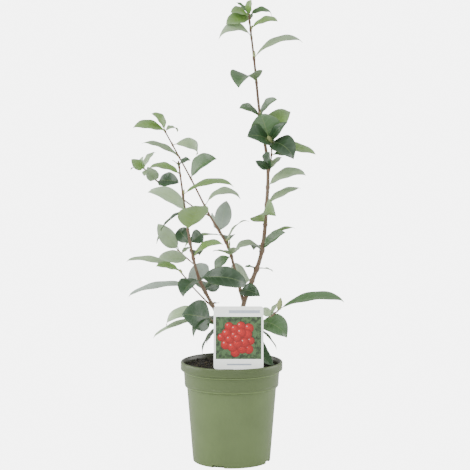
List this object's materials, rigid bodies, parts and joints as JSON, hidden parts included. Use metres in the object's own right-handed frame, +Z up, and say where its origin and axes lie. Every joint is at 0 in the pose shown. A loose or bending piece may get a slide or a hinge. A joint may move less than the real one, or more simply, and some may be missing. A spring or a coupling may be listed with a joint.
{
  "type": "camellia shrub",
  "caption": "Young camellia shrub with slender forked stems and glossy pointed leaves, growing in soil in a round plastic nursery pot with a plant label.",
  "frame": {"origin": "middle of the pot's flat underside, which stands on the floor or table", "axes": "+Z up along the pot's axis, +X to the right seen from the front, +Y to the back; the label faces the front"},
  "size_m": [0.3185, 0.1893, 0.6811],
  "materials": {
    "pot": "matte",
    "soil": "rough and damp",
    "label": "satin",
    "bark": "smooth thin bark",
    "leaf": "glossy"
  },
  "bodies": {
    "root": {"pot": "pot", "soil": "soil", "label": "label", "trunk": "bark", "stem_right": "bark", "stem_middle": "bark", "stem_left": "bark", "bough_crossing": "bark", "bough_lower_left": "bark", "bough_lower_right": "bark", "bough_base": "bark", "foliage_right_low": "leaf", "foliage_right_middle": "leaf", "foliage_right_upper": "leaf", "foliage_right_top": "leaf", "foliage_middle_low": "leaf", "foliage_middle": "leaf", "foliage_middle_top": "leaf", "foliage_left_low": "leaf", "foliage_left_middle": "leaf", "foliage_left_top": "leaf", "foliage_crossing": "leaf", "foliage_lower_left": "leaf", "foliage_lower_right": "leaf", "foliage_base": "leaf"}
  },
  "joints": []
}
